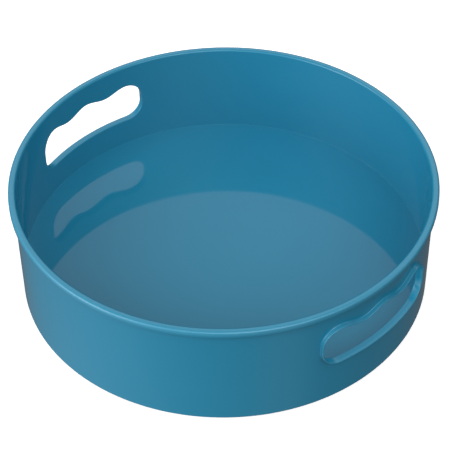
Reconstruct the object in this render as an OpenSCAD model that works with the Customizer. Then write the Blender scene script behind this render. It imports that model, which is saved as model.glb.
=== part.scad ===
// Round turntable storage bin. A low tub with two hand-holes turns on a ball
// race over a base plate that is hidden inside the tub's hollow skirt.
// Origin: on the ground, under the centre. +Z is up, the hand-holes face +X and -X.

/* [Tub] */
// Outside diameter over the rim
rim_d = 290; // [270:1:330]
// Height of the rim above the ground
rim_top = 84.8; // [80:0.1:98]
// Height of the floor's upper face above the ground
floor_top = 15; // [14.6:0.1:15.8]
// Gap between the ground and the lower edge of the skirt
skirt_gap = 1.5; // [1:0.1:3]
// Thickness of the wall and of the skirt
wall_t = 2; // [1.8:0.1:2.4]
// Thickness of the floor
floor_t = 2.2; // [2:0.1:2.4]
// How far the wall leans outward from its lower edge to its rim
draft = 0.5; // [0.2:0.1:1]
// Radius of the fillet between the floor and the wall
floor_fillet = 1; // [0.5:0.1:3]

/* [Rim] */
// How far the rim stands out from the wall
rim_overhang = 3; // [2:0.1:4]
// Height of the rim's outer band
rim_h = 5; // [4:0.1:7]
// Radius of the rim's upper outer edge
rim_round = 1.7; // [1:0.1:2]
// Radius of the rim's upper inner edge
rim_inner_round = 1.5; // [0.8:0.1:1.8]
// Radius of the rim's lower outer edge
rim_under_round = 1.1; // [0.5:0.1:1.5]

/* [Hand-holes] */
// Height of the hole's straight lower edge above the ground
hole_bottom = 36.9; // [32:0.1:40]
// Height of the three finger hollows along the upper edge
hole_top = 67.4; // [62:0.1:70]
// Distance from one finger hollow to the next
finger_pitch = 35.5; // [30:0.5:38]
// How far the two humps between the fingers reach down
finger_depth = 4.1; // [2:0.1:6]
// Radius of the hole's upper ends
hole_end_r = 12.6; // [10:0.1:13]
// Radius of the hole's lower corners
hole_corner_r = 12.5; // [8:0.1:13]
// Width of the raised lip round the hole
lip_w = 2; // [1.5:0.1:3]
// How far the lip stands out from the wall
lip_proud = 3; // [1:0.1:3]

/* [Turntable] */
// Diameter of the steel balls
ball_d = 6; // [5.5:0.1:6.2]
// Number of balls in the cage
ball_count = 16; // [8:1:16]
// Radius of the circle that the balls run on
race_r = 80; // [70:1:84]
// Width of the two race ribs
race_w = 12; // [10:0.5:13]
// Radius of the base plate
base_r = 104; // [102:1:120]
// Thickness of the base plate
base_t = 2.2; // [2:0.1:2.4]
// Number of ribs between the base plate's hub and its race
base_ribs = 12; // [6:1:18]

/* [Feet] */
// Number of rubber feet
foot_count = 6; // [3:1:6]
// Radius of one foot
foot_r = 8; // [6:0.5:9]
// Radius of the circle of feet
foot_ring_r = 93; // [90:0.5:93]
// How far the feet hold the base plate above the ground
foot_stand = 2; // [1.8:0.1:2.2]

/* [Pivot] */
// Radius of the tub's centre boss
boss_r = 6; // [5:0.5:7]
// Radius of the screw's thread
screw_r = 1.9; // [1.6:0.1:2.1]
// Radius of the retaining washer
washer_r = 8.4; // [8:0.1:8.8]

/* [Hidden] */
$fn = 96;
eps = 0.5;                 // how far joined shapes reach into each other
run_gap = 0.05;            // radial clearance of the pivot
race_gap = 0.1;            // clearance of a ball in each race
rim_r = rim_d / 2;
wall_top_r = rim_r - rim_overhang;
wall_low_r = wall_top_r - draft;
inner_top_r = wall_top_r - wall_t;
inner_low_r = wall_low_r - wall_t;
floor_under = floor_top - floor_t;
skirt_round = 0.45 * wall_t;
lip_r = wall_top_r + lip_proud;
wave = finger_depth / 2;
ball_r = ball_d / 2;
ball_z = 8;                // height of the balls' centres
ball_room = 0.2;           // by how much a groove or a cage pocket is wider than a ball
groove_r = ball_r + ball_room;
rib_gap = 1.1;             // from the balls' centres to each race rib
base_top = foot_stand + base_t;
base_lip_t = 2;            // thickness of the base plate's turned-up edge
base_lip_h = 3.8;          // height of that edge over the plate's underside
base_rib_t = 1.6;
base_rib_h = 2.2;
pocket = 0.8;              // depth of a foot's pocket in the base plate
pocket_gap = 0.2;
cage_t = 1.4;
cage_w = 9;
washer_sink = 2;           // how far the washer's seat lies over the plate's underside
boss_low = foot_stand + washer_sink;
hub_wall = 6;              // thickness of the hub round the boss
hub_r = boss_r + hub_wall;
hub_top = 9;
ledge_gap = 0.1;           // end play between the washer and the base plate
washer_t = 0.8;
washer_room = 0.8;         // room round the washer in its counterbore
washer_play = 0.2;         // room between the washer's hole and the screw
head_r = 3.8;
head_h = 2.1;
thread_bite = 0.2;         // how deep the screw's thread cuts into the boss
screw_tip = 12;
tip_l = 2;                 // length of the screw's point
tip_r = 0.4;
root_low = hub_top + 1;    // where the boss starts to flare into the floor
root_flare = 5;

function two_digits(i) = str(i < 10 ? "0" : "", i);
function arc(x, y, r, from, to, n = 8) =
    [for (i = [0:n]) let (a = from + (to - from) * i / n) [x + r * cos(a), y + r * sin(a)]];

// ---- Tub -------------------------------------------------------------------

// Section of the tub from its axis outward: floor, wall, rim, skirt.
function tub_section() = concat(
    [[0, floor_under], [0, floor_top]],
    arc(inner_low_r - floor_fillet, floor_top + floor_fillet, floor_fillet, -90, 0),
    arc(inner_top_r + rim_inner_round, rim_top - rim_inner_round, rim_inner_round, 180, 90),
    arc(rim_r - rim_round, rim_top - rim_round, rim_round, 90, 0),
    arc(rim_r - rim_under_round, rim_top - rim_h + rim_under_round, rim_under_round, 0, -90, 5),
    [[wall_top_r, rim_top - rim_h]],
    arc(wall_low_r - skirt_round, skirt_gap + skirt_round, skirt_round, 0, -90, 4),
    arc(wall_low_r - wall_t + skirt_round, skirt_gap + skirt_round, skirt_round, -90, -180, 4),
    [[wall_low_r - wall_t, floor_under]]);

// Outline of a hand-hole in [across, up], grown by d: a straight lower edge,
// round corners and an upper edge that waves over three fingers.
function finger_edge(y, d) =
    let (a = 360 * y / finger_pitch,
         slope = -wave * sin(a) * 2 * PI / finger_pitch,
         len = sqrt(1 + slope * slope))
    [y - d * slope / len, hole_top - wave + wave * cos(a) + d / len];

function hole_outline(d) =
    let (end_x = finger_pitch, end_z = hole_top - hole_end_r,
         low_x = finger_pitch + hole_end_r - hole_corner_r, low_z = hole_bottom + hole_corner_r,
         steps = 36)
    concat(
        arc(low_x, low_z, hole_corner_r + d, -90, 0),
        arc(end_x, end_z, hole_end_r + d, 0, 90),
        [for (i = [1:steps - 1]) finger_edge(finger_pitch * (1 - 2 * i / steps), d)],
        arc(-end_x, end_z, hole_end_r + d, 90, 180),
        arc(-low_x, low_z, hole_corner_r + d, 180, 270));

// A hand-hole's outline drawn through the wall on the +X side.
module through_wall(d) {
    reach = 16;
    translate([inner_low_r - reach / 2, 0, 0])
        rotate([90, 0, 90])
            linear_extrude(2 * reach)
                polygon(hole_outline(d));
}

module both_sides() {
    for (turn = [0, 180]) rotate([0, 0, turn]) children();
}

module hand_hole_lip() {
    intersection() {
        through_wall(lip_w);
        difference() {
            cylinder(r = lip_r, h = rim_top - eps);
            translate([0, 0, -eps]) cylinder(r = wall_top_r - wall_t / 2, h = rim_top + eps);
        }
    }
}

// Groove that the balls run in, shifted up or down by the race clearance.
module race_groove(shift) {
    rotate_extrude() translate([race_r, ball_z + shift]) circle(r = groove_r);
}

module ring(r_in, r_out, z_low, z_high) {
    rotate_extrude() translate([r_in, z_low]) square([r_out - r_in, z_high - z_low]);
}

module tub() color("steelblue") {
    difference() {
        union() {
            rotate_extrude() polygon(tub_section());
            both_sides() hand_hole_lip();
            ring(race_r - race_w / 2, race_r + race_w / 2, ball_z + rib_gap, floor_under + eps);
            translate([0, 0, boss_low]) cylinder(r = boss_r, h = floor_under + eps - boss_low);
            translate([0, 0, root_low])
                cylinder(r1 = boss_r, r2 = boss_r + root_flare, h = floor_under + eps - root_low);
        }
        both_sides() through_wall(0);
        race_groove(-(groove_r - ball_r - race_gap));
        translate([0, 0, boss_low - eps])
            cylinder(r = screw_r - thread_bite, h = screw_tip + 2 * eps - boss_low);
    }
}

// ---- Turntable base --------------------------------------------------------

module at_foot(i) {
    rotate([0, 0, 360 * (i - 1) / foot_count]) translate([foot_ring_r, 0, 0]) children();
}

module base_plate() color("gainsboro") {
    difference() {
        union() {
            translate([0, 0, foot_stand]) cylinder(r = base_r, h = base_t);
            ring(base_r - base_lip_t, base_r, base_top - eps, foot_stand + base_lip_h);
            ring(race_r - race_w / 2, race_r + race_w / 2, base_top - eps, ball_z - rib_gap);
            translate([0, 0, base_top - eps]) cylinder(r = hub_r, h = hub_top + eps - base_top);
            for (i = [1:base_ribs]) rotate([0, 0, 360 * i / base_ribs])
                translate([hub_r - eps, -base_rib_t / 2, base_top - eps])
                    cube([race_r - race_w / 2 - hub_r + 2 * eps, base_rib_t, base_rib_h + eps]);
        }
        translate([0, 0, foot_stand - eps]) cylinder(r = boss_r + run_gap, h = hub_top);
        translate([0, 0, foot_stand - eps])
            cylinder(r = washer_r + washer_room, h = washer_sink + ledge_gap + eps);
        race_groove(groove_r - ball_r - race_gap);
        for (i = [1:foot_count]) at_foot(i)
            translate([0, 0, foot_stand - eps]) cylinder(r = foot_r + pocket_gap, h = pocket + eps);
    }
}

// Rubber foot: a low disc with a rounded lower edge, glued into its pocket.
module foot(i) color("dimgray") {
    edge = 0.6;
    at_foot(i) rotate_extrude()
        polygon(concat([[0, 0]], arc(foot_r - edge, edge, edge, -90, 0, 4),
                       [[foot_r, foot_stand + pocket], [0, foot_stand + pocket]]));
}

// ---- Ball race -------------------------------------------------------------

module at_ball(i) {
    rotate([0, 0, 360 * (i - 1) / ball_count]) translate([race_r, 0, 0]) children();
}

module ball_cage() color("white") {
    difference() {
        ring(race_r - cage_w / 2, race_r + cage_w / 2, ball_z - cage_t / 2, ball_z + cage_t / 2);
        for (i = [1:ball_count]) at_ball(i)
            translate([0, 0, ball_z - cage_t]) cylinder(r = ball_r + ball_room, h = 2 * cage_t);
    }
}

module ball(i) color("silver") {
    at_ball(i) translate([0, 0, ball_z]) sphere(r = ball_r);
}

// ---- Pivot -----------------------------------------------------------------

module pivot_washer() color("silver") {
    ring(screw_r + washer_play, washer_r, boss_low - washer_t, boss_low);
}

// Pan-head screw with a cross recess, driven up into the tub's boss.
module pivot_screw() color("silver") {
    head_top = boss_low - washer_t;
    head_low = head_top - head_h;
    edge = 1.2;
    recess_w = 1;
    recess_l = 4.4;
    recess_depth = 1.3;
    difference() {
        union() {
            rotate_extrude()
                polygon(concat([[0, head_low]], arc(head_r - edge, head_low + edge, edge, -90, 0, 5),
                               [[head_r, head_top], [0, head_top]]));
            translate([0, 0, head_top - eps]) cylinder(r = screw_r, h = screw_tip - tip_l - head_top + eps);
            translate([0, 0, screw_tip - tip_l]) cylinder(r1 = screw_r, r2 = tip_r, h = tip_l);
        }
        for (turn = [0, 90]) rotate([0, 0, turn])
            translate([-recess_l / 2, -recess_w / 2, head_low - eps])
                cube([recess_l, recess_w, recess_depth + eps]);
    }
}

tub();
base_plate();
ball_cage();
pivot_screw();
pivot_washer();
for (i = [1:ball_count])
    ball(i);
for (i = [1:foot_count])
    foot(i);
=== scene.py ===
import math

import bmesh
import bpy
from mathutils import Matrix, Vector


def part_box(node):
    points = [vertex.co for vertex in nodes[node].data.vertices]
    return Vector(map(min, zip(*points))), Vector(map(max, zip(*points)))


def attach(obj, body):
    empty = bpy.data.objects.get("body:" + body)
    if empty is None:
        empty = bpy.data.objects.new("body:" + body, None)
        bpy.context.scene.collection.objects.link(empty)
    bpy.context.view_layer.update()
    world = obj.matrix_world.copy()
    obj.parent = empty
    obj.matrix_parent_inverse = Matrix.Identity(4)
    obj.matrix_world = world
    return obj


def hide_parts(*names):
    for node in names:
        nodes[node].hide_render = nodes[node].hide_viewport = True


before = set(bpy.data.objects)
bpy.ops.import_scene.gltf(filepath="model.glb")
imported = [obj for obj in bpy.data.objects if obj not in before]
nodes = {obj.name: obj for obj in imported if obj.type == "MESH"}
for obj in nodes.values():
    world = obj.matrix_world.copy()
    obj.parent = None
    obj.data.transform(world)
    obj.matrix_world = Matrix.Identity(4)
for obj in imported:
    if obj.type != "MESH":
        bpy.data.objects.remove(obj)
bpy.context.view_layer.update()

MM = 0.001
scene = bpy.context.scene


# ---- Base plate --------------------------------------------------------------
# The base plate is the part that stays still under the turning tub. It is one
# satin moulding in light grey plastic, with a ball race, a hub and foot pockets,
# and it lies out of sight inside the tub's skirt.

class Value:
    """A shader socket that takes part in sums as a number does."""

    def __init__(self, shading, socket):
        self.shading = shading
        self.socket = socket

    def maths(self, operation, first, second):
        return self.shading.node("ShaderNodeMath", {"operation": operation}, {0: first, 1: second})

    def __add__(self, other):
        return self.maths("ADD", self, other)

    def __sub__(self, other):
        return self.maths("SUBTRACT", self, other)

    def __rsub__(self, other):
        return self.maths("SUBTRACT", other, self)

    def __mul__(self, other):
        return self.maths("MULTIPLY", self, other)

    def __pow__(self, other):
        return self.maths("POWER", self, other)

    def __rpow__(self, other):
        return self.maths("POWER", other, self)

    __radd__ = __add__
    __rmul__ = __mul__


class Shading:
    """The nodes of one material or of the sky."""

    def __init__(self, tree):
        self.tree = tree

    def node(self, kind, settings=None, inputs=None, output=0):
        """Makes a node: its settings first, then the values or links of its sockets."""
        made = self.tree.nodes.new(kind)
        for name, value in (settings or {}).items():
            if name == "stops":
                ramp = made.color_ramp
                while len(ramp.elements) < len(value):
                    ramp.elements.new(1.0)
                for element, (position, color) in zip(ramp.elements, value):
                    element.position = position
                    element.color = color
            else:
                setattr(made, name, value)
        for name, value in (inputs or {}).items():
            self.feed(made.inputs[name], value)
        return Value(self, made.outputs[output])

    def feed(self, socket, value):
        if isinstance(value, Value):
            self.tree.links.new(value.socket, socket)
        else:
            socket.default_value = value

    def ramp(self, factor, *stops):
        """Numbers along a ramp, as (position, value) pairs."""
        grey = [(position, (value, value, value, 1)) for position, value in stops]
        return self.node("ShaderNodeValToRGB", {"stops": grey}, {"Fac": factor})


class Finish(Shading):
    """A material on one Principled shader. Constants go on the shader's own sockets."""

    def __init__(self, name, **constants):
        self.material = bpy.data.materials.new(name)
        self.material.use_nodes = True
        super().__init__(self.material.node_tree)
        self.shader = self.tree.nodes["Principled BSDF"]
        for socket, value in constants.items():
            self.shader.inputs[socket.replace("_", " ")].default_value = value

    def varies(self, socket, value):
        """Links a value that changes over the surface to one of the shader's sockets."""
        self.feed(self.shader.inputs[socket], value)

    def place(self):
        """Position in the piece's own space, in metres."""
        return self.node("ShaderNodeTexCoord", output="Object")

    def noise(self, scale, detail, roughness=0.5, place=None, distortion=0.0):
        inputs = {"Vector": place or self.place(), "Scale": scale, "Detail": detail,
                  "Roughness": roughness, "Distortion": distortion}
        return self.node("ShaderNodeTexNoise", inputs=inputs)

    def step(self, value, start, end):
        """Climbs smoothly from 0 at the start to 1 at the end, whichever of the two is larger."""
        return self.node("ShaderNodeMapRange", {"interpolation_type": "SMOOTHSTEP"},
                         {"Value": value, "From Min": start, "From Max": end})

    def mix(self, factor, first, second):
        """Between two colours; 6 and 7 are the Mix node's colour sockets."""
        inputs = {"Factor": factor, 6: first, 7: second}
        return self.node("ShaderNodeMix", {"data_type": "RGBA"}, inputs, output=2)

    def bump(self, height, distance, strength, normal=None):
        inputs = {"Height": height, "Distance": distance, "Strength": strength}
        if normal:
            inputs["Normal"] = normal
        return self.node("ShaderNodeBump", inputs=inputs)

    def on(self, piece):
        piece.data.materials.clear()
        piece.data.materials.append(self.material)


def satin_plastic():
    finish = Finish("satin_grey_plastic", IOR=1.49, Specular_IOR_Level=0.5)
    cloud = finish.noise(22.0, 3.0)
    grain = finish.noise(2600.0, 2.0)
    finish.varies("Base Color", finish.mix(cloud, (0.56, 0.58, 0.60, 1), (0.66, 0.68, 0.69, 1)))
    finish.varies("Roughness", 0.38 + cloud * 0.16)
    finish.varies("Normal", finish.bump(grain, 0.03 * MM, 0.6))
    return finish


satin_plastic().on(nodes["base_plate"])


# ---- Feet --------------------------------------------------------------------
# Six soft black rubber discs, glued into pockets under the base plate so that
# the bin doesn't slide on a shelf. Their working faces are lightly dusty.

def foot_rubber():
    finish = Finish("black_foot_rubber", IOR=1.5, Specular_IOR_Level=0.35)
    dust = finish.ramp(finish.noise(160.0, 5.0, 0.65), (0.42, 0.0), (0.72, 1.0))
    grain = finish.noise(3200.0, 3.0)
    finish.varies("Base Color", finish.mix(dust, (0.022, 0.022, 0.023, 1), (0.075, 0.073, 0.07, 1)))
    finish.varies("Roughness", 0.72 + dust * 0.2)
    finish.varies("Normal", finish.bump(grain, 0.06 * MM, 0.7))
    return finish


rubber = foot_rubber()
for name, node in nodes.items():
    if name.startswith("foot_"):
        rubber.on(node)


# ---- Ball race ---------------------------------------------------------------
# Polished steel balls in a natural plastic cage. They roll between a groove in
# the base plate and a groove under the tub's floor, and carry its whole weight.

def natural_plastic():
    finish = Finish("natural_cage_plastic", IOR=1.5, Subsurface_Weight=0.1,
                    Subsurface_Radius=(0.004, 0.004, 0.004), Subsurface_Scale=1.0)
    cloud = finish.noise(60.0, 3.0)
    finish.varies("Base Color", finish.mix(cloud, (0.78, 0.77, 0.72, 1), (0.86, 0.85, 0.81, 1)))
    finish.varies("Roughness", 0.42 + cloud * 0.12)
    finish.varies("Normal", finish.bump(finish.noise(1800.0, 2.0), 0.03 * MM, 0.5))
    return finish


def polished_steel():
    finish = Finish("polished_ball_steel", Metallic=1.0)
    smear = finish.noise(420.0, 3.0)
    finish.varies("Base Color", finish.mix(smear, (0.74, 0.74, 0.75, 1), (0.82, 0.82, 0.83, 1)))
    finish.varies("Roughness", 0.07 + smear * 0.09)
    return finish


natural_plastic().on(nodes["ball_cage"])
steel = polished_steel()
for name, node in nodes.items():
    if name.startswith("ball_") and name != "ball_cage":
        steel.on(node)


# ---- Pivot -------------------------------------------------------------------
# A zinc-plated pan-head screw and a plain washer, driven up into the tub's boss
# from below. The washer is what keeps the base plate on the tub.

def zinc_plate():
    finish = Finish("zinc_plated_steel", Metallic=1.0)
    bloom = finish.noise(700.0, 4.0, 0.6)
    finish.varies("Base Color", finish.mix(bloom, (0.56, 0.57, 0.56, 1), (0.70, 0.69, 0.63, 1)))
    finish.varies("Roughness", 0.24 + bloom * 0.2)
    finish.varies("Normal", finish.bump(finish.noise(2400.0, 2.0), 0.01 * MM, 0.6))
    return finish


zinc = zinc_plate()
for name in ("pivot_screw", "pivot_washer"):
    zinc.on(nodes[name])


# ---- Tub ---------------------------------------------------------------------
# One injection moulding in glossy teal-blue polypropylene: a floor, a thin wall
# with a rolled rim, two lipped hand-holes, and a hollow skirt over the ball race.
# It is turned round its axis, with each hand-hole let into the wall as a ring.

tub_low, tub_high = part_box("tub")
RIM_R = tub_high.x
RIM_TOP = tub_high.z
RIM_LOW = RIM_TOP - 5 * MM
SKIRT_LOW = tub_low.z
FLOOR_TOP = SKIRT_LOW + 13.5 * MM
FLOOR_T = 2.2 * MM
FLOOR_UNDER = FLOOR_TOP - FLOOR_T
WALL_TOP_R = RIM_R - 3 * MM
WALL_T = 2 * MM
DRAFT = 0.5 * MM
WALL_LEAN = DRAFT / (RIM_LOW - SKIRT_LOW)

COLUMNS = 480           # all the way round the tub
HOLE_COLUMNS = 60       # across a hand-hole's surround
HOLE_ROWS = 24          # up a hand-hole's surround
HOLE_LOW = SKIRT_LOW + 34.8 * MM
HOLE_TOP = SKIRT_LOW + 65.9 * MM
LIP_PROUD = 3.05 * MM
SURROUND_LOW = SKIRT_LOW + 28.4 * MM
SURROUND_TOP = SKIRT_LOW + 72.9 * MM


def wall_r(z):
    """Outside radius of the wall at a height."""
    return WALL_TOP_R - WALL_LEAN * (RIM_LOW - z)


def arc(r, z, radius, start, end, steps):
    """Points on an arc of the section, from one angle to another in degrees."""
    turn = [math.radians(start + (end - start) * i / steps) for i in range(steps + 1)]
    return [(r + radius * math.cos(a), z + radius * math.sin(a)) for a in turn]


def line(first, last, steps, guard=0.4 * MM):
    """Points strictly between two ends, with one close to each end to keep the bend there crisp."""
    length = math.dist(first, last)
    shares = [guard / length] + [i / steps for i in range(1, steps)] + [1 - guard / length]
    return [tuple(a + (b - a) * t for a, b in zip(first, last)) for t in shares]


def surround_heights():
    tall = SURROUND_TOP - SURROUND_LOW
    return [SURROUND_LOW + tall * i / HOLE_ROWS for i in range(HOLE_ROWS + 1)]


def tub_section():
    """The tub's section from the middle of the floor round to the pilot hole, with two marks: the
    first row of the hand-hole's surround on the inner wall and on the outer wall."""
    fillet, inner_round, outer_round, under_round = 0.15 * MM, 1.5 * MM, 1.7 * MM, 1.1 * MM
    edge, root = 0.9 * MM, 0.6 * MM
    inner_low_r = wall_r(FLOOR_TOP) - WALL_T
    floor_end = inner_low_r - fillet
    heights = surround_heights()
    points = [(share * floor_end, FLOOR_TOP) for share in (0.02, 0.1, 0.25, 0.4, 0.55, 0.7, 0.85)]
    points += line((0.85 * floor_end, FLOOR_TOP), (floor_end, FLOOR_TOP), 2)[1:]
    points += arc(floor_end, FLOOR_TOP + fillet, fillet, -90, 0, 4)
    wall_start = (inner_low_r, FLOOR_TOP + fillet)
    surround_start = (wall_r(SURROUND_LOW) - WALL_T, SURROUND_LOW)
    points += line(wall_start, surround_start, 3)[:-1]
    inner_mark = len(points)
    points += [(wall_r(z) - WALL_T, z) for z in heights]
    inner_top = (WALL_TOP_R - WALL_T, RIM_TOP - inner_round)
    points += line((wall_r(SURROUND_TOP) - WALL_T, SURROUND_TOP), inner_top, 3)[1:]
    points += arc(inner_top[0] + inner_round, inner_top[1], inner_round, 180, 90, 8)
    points += arc(RIM_R - outer_round, RIM_TOP - outer_round, outer_round, 90, 0, 8)
    points += line((RIM_R, RIM_TOP - outer_round), (RIM_R, RIM_LOW + under_round), 2)
    points += arc(RIM_R - under_round, RIM_LOW + under_round, under_round, 0, -90, 6)
    points += arc(WALL_TOP_R + root, RIM_LOW - root, root, 90, 180, 5)
    points += line((WALL_TOP_R, RIM_LOW - root), (wall_r(SURROUND_TOP), SURROUND_TOP), 2)[:-1]
    outer_mark = len(points)
    points += [(wall_r(z), z) for z in reversed(heights)]
    skirt_r = wall_r(SKIRT_LOW)
    points += line((wall_r(SURROUND_LOW), SURROUND_LOW), (skirt_r, SKIRT_LOW + edge), 8)[1:]
    points += arc(skirt_r - edge, SKIRT_LOW + edge, edge, 0, -90, 5)
    points += arc(skirt_r - WALL_T + edge, SKIRT_LOW + edge, edge, -90, -180, 5)
    points += line((skirt_r - WALL_T, SKIRT_LOW + edge), (skirt_r - WALL_T, FLOOR_UNDER - edge), 3)
    points += arc(skirt_r - WALL_T - edge, FLOOR_UNDER - edge, edge, 0, 90, 4)
    points += underside_section(skirt_r - WALL_T - edge)
    return points, inner_mark, outer_mark


def underside_section(start_r):
    """The section under the floor, inward: the race rib with its groove, and the screw boss."""
    race_r, race_half, ball_z, groove_r = 80 * MM, 6 * MM, 8 * MM, 3.2 * MM
    rib_low, groove_z = ball_z + 1.1 * MM, ball_z - 0.1 * MM
    boss_r, boss_low, root_r, root_low = 6 * MM, 4 * MM, 10.2 * MM, 10 * MM
    pilot_r, pilot_top = 1.7 * MM, 12.5 * MM
    groove_end = math.degrees(math.asin((rib_low - groove_z) / groove_r))
    points = line((start_r, FLOOR_UNDER), (race_r + race_half, FLOOR_UNDER), 4)
    points += [(race_r + race_half, FLOOR_UNDER)]
    points += line((race_r + race_half, FLOOR_UNDER), (race_r + race_half, rib_low), 2)
    points += [(race_r + race_half, rib_low)]
    points += arc(race_r, groove_z, groove_r, groove_end, 180 - groove_end, 10)
    points += [(race_r - race_half, rib_low)]
    points += line((race_r - race_half, rib_low), (race_r - race_half, FLOOR_UNDER), 2)
    points += [(race_r - race_half, FLOOR_UNDER)]
    points += line((race_r - race_half, FLOOR_UNDER), (root_r, FLOOR_UNDER), 4)
    points += [(root_r, FLOOR_UNDER), (boss_r, root_low)]
    points += line((boss_r, root_low), (boss_r, boss_low), 2)
    points += [(boss_r, boss_low), (pilot_r, boss_low)]
    points += line((pilot_r, boss_low), (pilot_r, pilot_top), 3)
    points += [(pilot_r, pilot_top)]
    return points


def turned(made, section, columns):
    """Rows of vertices from turning a section round the axis, one row for each of its points."""
    turns = [math.tau * j / columns for j in range(columns)]
    return [[made.verts.new((r * math.cos(turn), r * math.sin(turn), z)) for turn in turns]
            for r, z in section]


def finished(made, name):
    """Puts a mesh that has been built into the scene, shaded smooth."""
    for face in made.faces:
        face.smooth = True
    mesh = bpy.data.meshes.new(name)
    made.to_mesh(mesh)
    made.free()
    piece = bpy.data.objects.new(name, mesh)
    scene.collection.objects.link(piece)
    return piece


def hand_hole_edge():
    """The hand-hole's outline as (along, up, normal along, normal up), one entry for each edge
    vertex of its surround, in the same order: along the bottom, up the right, back along the
    wavy top and down the left."""
    pitch, wave, end_r, corner_r = 35.5 * MM, 1.95 * MM, 12.7 * MM, 12.5 * MM
    low_x, low_z = pitch + end_r - corner_r, HOLE_LOW + corner_r
    end_z = HOLE_TOP - end_r

    def corner(x, z, radius, start, end):
        turn = [math.radians(start + (end - start) * i / 60) for i in range(61)]
        return [(x + radius * math.cos(a), z + radius * math.sin(a), math.cos(a), math.sin(a))
                for a in turn]

    def fingers(count=240):
        found = []
        for i in range(1, count):
            x = pitch * (1 - 2 * i / count)
            phase = math.tau * x / pitch
            slope = -wave * math.sin(phase) * math.tau / pitch
            steep = math.hypot(1, slope)
            found.append((x, HOLE_TOP - wave + wave * math.cos(phase), -slope / steep, 1 / steep))
        return found

    right_low = corner(low_x, low_z, corner_r, -90, 0)
    right_top = corner(pitch, end_z, end_r, 0, 90)
    left_top = corner(-pitch, end_z, end_r, 90, 180)
    left_low = corner(-low_x, low_z, corner_r, 180, 270)
    bottom = left_low[30:] + right_low[:31]
    right = right_low[30:] + right_top[:31]
    top = right_top[30:] + fingers() + left_top[:31]
    left = left_top[30:] + left_low[:31]
    edge = spread(bottom, HOLE_COLUMNS) + spread(right, HOLE_ROWS)
    edge += spread(top, HOLE_COLUMNS) + spread(left, HOLE_ROWS)
    return edge


def spread(side, count):
    """Picks count points at equal steps along a side, its first end included and its last left out."""
    reach = [0.0]
    for a, b in zip(side, side[1:]):
        reach.append(reach[-1] + math.dist(a[:2], b[:2]))
    picked, at = [], 0
    for i in range(count):
        want = reach[-1] * i / count
        while reach[at + 1] < want:
            at += 1
        share = (want - reach[at]) / (reach[at + 1] - reach[at])
        picked.append([a + (b - a) * share for a, b in zip(side[at], side[at + 1])])
    return picked


def lip_section():
    """The section of the lip and the hole's edge, from the outer wall to the inner wall, as
    (distance outside the outline, height above the outer wall)."""
    width, root, round_r, inner_round = 0.9 * MM, 0.8 * MM, 0.43 * MM, 0.6 * MM
    points = [(width + root + 0.5 * MM, 0)]
    points += arc(width + root, root, root, -90, -180, 4)
    points += line((width, root), (width, LIP_PROUD - round_r), 2, 0.25 * MM)
    points += arc(width - round_r, LIP_PROUD - round_r, round_r, 0, 90, 5)
    points += arc(round_r, LIP_PROUD - round_r, round_r, 90, 180, 5)
    sill_end = inner_round - WALL_T
    points += line((0, LIP_PROUD - round_r), (0, sill_end), 3, 0.25 * MM)
    points += arc(inner_round, sill_end, inner_round, 180, 270, 5)
    points += [(inner_round + 0.4 * MM, -WALL_T)]
    return points


def build_tub():
    points, inner_mark, outer_mark = tub_section()
    made = bmesh.new()
    grid = turned(made, points, COLUMNS)
    half = HOLE_COLUMNS // 2

    def in_surround(i, column):
        """Whether a wall face belongs to a hand-hole's surround."""
        near = (column + half) % (COLUMNS // 2) < HOLE_COLUMNS
        return near and any(mark <= i < mark + HOLE_ROWS for mark in (inner_mark, outer_mark))

    for i in range(len(grid) - 1):
        for j in range(COLUMNS):
            if not in_surround(i, j):
                k = (j + 1) % COLUMNS
                made.faces.new((grid[i][j], grid[i][k], grid[i + 1][k], grid[i + 1][j]))
    for row, z, order in ((grid[0], points[0][1], 1), (grid[-1], points[-1][1], -1)):
        middle = made.verts.new((0, 0, z))
        for j in range(COLUMNS):
            fan = (middle, row[j], row[(j + 1) % COLUMNS])
            made.faces.new(fan[::order][::-1])
    for side in (0, COLUMNS // 2):
        add_hand_hole(made, grid, inner_mark, outer_mark, side)
    bmesh.ops.recalc_face_normals(made, faces=made.faces)
    return finished(made, "tub_shell")


def lip_drop(up, height):
    """How far the hole has dropped at a height over the outer wall, because its passage slopes
    down towards the outside, more along the top than along the bottom."""
    low_drop, top_drop = 0.2 * MM, 1.1 * MM
    share = min(1, max(0, (up - HOLE_LOW) / (HOLE_TOP - HOLE_LOW)))
    return (low_drop + (top_drop - low_drop) * share) * (height + WALL_T) / (LIP_PROUD + WALL_T)


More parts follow.
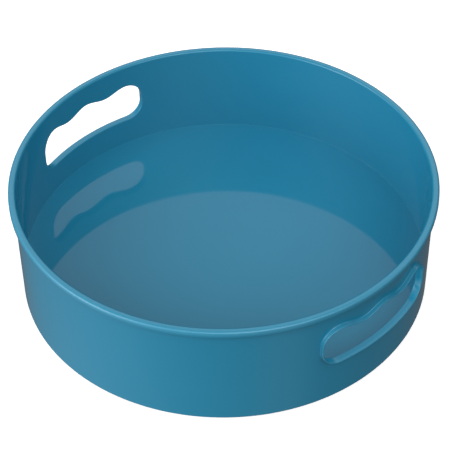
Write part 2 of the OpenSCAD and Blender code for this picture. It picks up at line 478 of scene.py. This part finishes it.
def add_hand_hole(made, grid, inner_mark, outer_mark, middle):
    """Fills one hand-hole's surround on both faces of the wall and joins them through the hole."""
    half, top = HOLE_COLUMNS // 2, HOLE_ROWS
    along = list(range(-half, half))
    heights = list(range(top))
    border = [(j, 0) for j in along] + [(half, i) for i in heights]
    border += [(-j, top) for j in along] + [(-half, top - i) for i in heights]
    outline = hand_hole_edge()
    mid_r = wall_r((HOLE_LOW + HOLE_TOP) / 2) - WALL_T / 2
    column_step = mid_r * math.tau / COLUMNS
    row_step = (SURROUND_TOP - SURROUND_LOW) / HOLE_ROWS
    start = math.tau * middle / COLUMNS

    def vertex(across, up, height):
        turn = start + across / mid_r
        r = wall_r(up) + height
        return made.verts.new((r * math.cos(turn), r * math.sin(turn), up))

    def between(share, depth, height):
        """A ring part of the way from the surround's border to the outline grown by depth."""
        ring = []
        for (j, i), (x, z, nx, nz) in zip(border, outline):
            x0, z0 = j * column_step, SURROUND_LOW + i * row_step
            x1, z1 = x + depth * nx, z + depth * nz - lip_drop(z, height)
            ring.append(vertex(x0 + (x1 - x0) * share, z0 + (z1 - z0) * share, height))
        return ring

    section = lip_section()
    outer = [grid[outer_mark + top - i][(middle + j) % COLUMNS] for j, i in border]
    inner = [grid[inner_mark + i][(middle + j) % COLUMNS] for j, i in border]
    shares = (0.3, 0.55, 0.8)
    rings = [outer]
    rings += [between(share, section[0][0], 0) for share in shares]
    rings += [between(1, depth, height) for depth, height in section]
    rings += [between(share, section[-1][0], -WALL_T) for share in reversed(shares)]
    rings += [inner]
    for ring, after in zip(rings, rings[1:]):
        for k in range(len(border)):
            m = (k + 1) % len(border)
            made.faces.new((ring[k], ring[m], after[m], after[k]))


def painted_sheen_edges(finish, place):
    """Mask of a painted sheen: 1 on the roll of the rim, less on the hand-holes' lips, and 0 on the
    walls and the floor.
    """
    flat = finish.node("ShaderNodeVectorMath", {"operation": "MULTIPLY"}, {0: place, 1: (1, 1, 0)})
    out = finish.node("ShaderNodeVectorMath", {"operation": "LENGTH"}, {0: flat}, output="Value")
    up = finish.node("ShaderNodeSeparateXYZ", inputs={"Vector": place}, output="Z")
    # Only the top of the rim's roll, where the light falls, gets the painted sheen; its underside is
    # left dark.
    crest = finish.step(up, RIM_TOP - 3.4 * MM, RIM_TOP - 2.0 * MM)
    rim = finish.step(out, WALL_TOP_R - 1.4 * MM, WALL_TOP_R) * crest
    below_rim = finish.step(up, RIM_LOW, RIM_LOW - 1 * MM)
    lip = finish.step(out, WALL_TOP_R + 0.2 * MM, WALL_TOP_R + 1.8 * MM) * below_rim
    return rim + lip * 0.6


def teal_plastic():
    """Mirror-gloss polypropylene, faintly wavy and a little uneven in colour. The rim and the lips
    carry a painted sheen:
    they are coloured paler in place of a highlight. The paler edge is matched, and what makes the real
    rim paler isn't known."""
    finish = Finish("glossy_teal_plastic", IOR=1.49, Specular_IOR_Level=0.5)
    place = finish.place()
    flow = finish.noise(14.0, 2.0, 0.45, place, 0.6)
    fleck = finish.noise(900.0, 2.0, 0.5, place)
    rubs_and_sheen = finish.ramp(finish.noise(240.0, 6.0, 0.7, place), (0.5, 0.0), (0.8, 1.0))
    base = finish.mix(flow, (0.0145, 0.206, 0.345, 1), (0.0165, 0.222, 0.366, 1))
    base = finish.mix(fleck * 0.08, base, (0.03, 0.26, 0.41, 1))
    # Painted sheen: the rim and the lips are mixed towards a paler, whiter blue in place of a
    # highlight, broken up a little by the rub noise, which also roughens the gloss.
    painted_sheen = painted_sheen_edges(finish, place) * (0.7 + rubs_and_sheen * 0.3)
    finish.varies("Base Color", finish.mix(painted_sheen, base, (0.05, 0.28, 0.43, 1)))
    finish.varies("Roughness", 0.045 + flow * 0.02 + rubs_and_sheen * 0.05)
    wave = finish.bump(finish.noise(38.0, 1.0, 0.4, place), 0.05 * MM, 0.35)
    finish.varies("Normal", finish.bump(fleck, 0.004 * MM, 0.25, wave))
    return finish


tub_shell = build_tub()
teal_plastic().on(tub_shell)
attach(tub_shell, "tub")
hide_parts("tub")


# ---- Studio ------------------------------------------------------------------
# A white sweep inside a tent that glows in a band above the bin, with one soft
# light low on the left, one above the camera, and two faint ones from below.
# The sweep is only there to be looked at: the tent is what lights the bin.

CAMERA_TURN = math.radians(45)


def from_camera(right, away, up):
    """A place or direction given by its distances to the camera's right, away from it and up."""
    return Matrix.Rotation(CAMERA_TURN, 4, "Z") @ Vector((right, away, up))


def white_acrylic():
    finish = Finish("white_acrylic", Specular_IOR_Level=0.0, Emission_Strength=0.5)
    tone = finish.noise(1.2, 2.0)
    finish.varies("Base Color", finish.mix(tone, (0.93, 0.93, 0.93, 1), (0.95, 0.95, 0.95, 1)))
    finish.varies("Emission Color", finish.mix(tone, (0.97, 0.97, 0.97, 1), (1, 1, 1, 1)))
    finish.varies("Roughness", 0.8 + tone * 0.1)
    return finish


def build_sweep():
    """A round floor that curves up into a wall far behind everything."""
    reach, cove, wall_top, sides = 9.0, 2.0, 7.0, 96
    section = [(0.4, 0.0), (1.5, 0.0), (reach, 0.0)]
    section += arc(reach, cove, cove, -90, 0, 16)[1:] + [(reach + cove, wall_top)]
    made = bmesh.new()
    rings = turned(made, section, sides)
    made.faces.new(rings[0])
    for ring, after in zip(rings, rings[1:]):
        for j in range(sides):
            k = (j + 1) % sides
            made.faces.new((ring[j], after[j], after[k], ring[k]))
    sweep = finished(made, "sweep")
    sweep.visible_diffuse = False
    sweep.visible_glossy = False
    sweep.visible_shadow = False
    return sweep


sweep = build_sweep()
white_acrylic().on(sweep)


def glow(sky, direction, turn, rise, tightness, strength):
    """A soft patch of light. Turn is in degrees from the camera to its right, rise is upward."""
    turn, rise = math.radians(turn), math.radians(rise)
    middle = from_camera(math.sin(turn) * math.cos(rise),
                         -math.cos(turn) * math.cos(rise),
                         math.sin(rise))
    towards = sky.node("ShaderNodeVectorMath", {"operation": "DOT_PRODUCT"},
                       {0: direction, 1: middle}, output="Value")
    return math.e ** ((towards - 1.0) * tightness) * strength


def light_tent():
    world = bpy.data.worlds.new("light_tent")
    world.use_nodes = True
    sky = Shading(world.node_tree)
    direction = sky.node("ShaderNodeTexCoord", output="Generated")
    split = sky.node("ShaderNodeSeparateXYZ", inputs={"Vector": direction}, output="Z")
    band = sky.ramp(split * 0.5 + 0.5, (0.0, 0.05), (0.07, 0.2), (0.21, 0.05), (0.7, 0.05),
                    (0.79, 1.0), (0.87, 0.77), (0.93, 0.05))
    light = band + glow(sky, direction, 295, 16, 10, 4.6)
    light += glow(sky, direction, 22, 49, 10, 2.8)
    light += glow(sky, direction, 285, -55, 6, 0.3)
    light += glow(sky, direction, 32, -43, 40, 0.2)
    sky.feed(sky.tree.nodes["Background"].inputs["Strength"], light)
    sky.feed(sky.tree.nodes["Background"].inputs["Color"], (1, 1, 1, 1))
    return world


scene.world = light_tent()
scene.view_settings.view_transform = "Standard"


# ---- Camera ------------------------------------------------------------------
# A long lens from a metre and a bit away, looking down steeply on the tub with
# one hand-hole at the near right and the other at the far left.

ASIDE, BACK, HEIGHT = 0.0008, 0.8461, 0.8306    # metres from under the bin's middle
YAW, DIP, ROLL = 0.0003, 0.7515, -0.013         # radians

camera = bpy.data.cameras.new("camera")
camera.sensor_width = 36
camera.lens = 133.86
camera_object = bpy.data.objects.new("camera", camera)
camera_object.matrix_world = (
    Matrix.Translation(from_camera(ASIDE, -BACK, HEIGHT))
    @ Matrix.Rotation(CAMERA_TURN + YAW, 4, "Z")
    @ Matrix.Rotation(math.pi / 2 - DIP, 4, "X")
    @ Matrix.Rotation(ROLL, 4, "Z"))
scene.collection.objects.link(camera_object)
scene.camera = camera_object
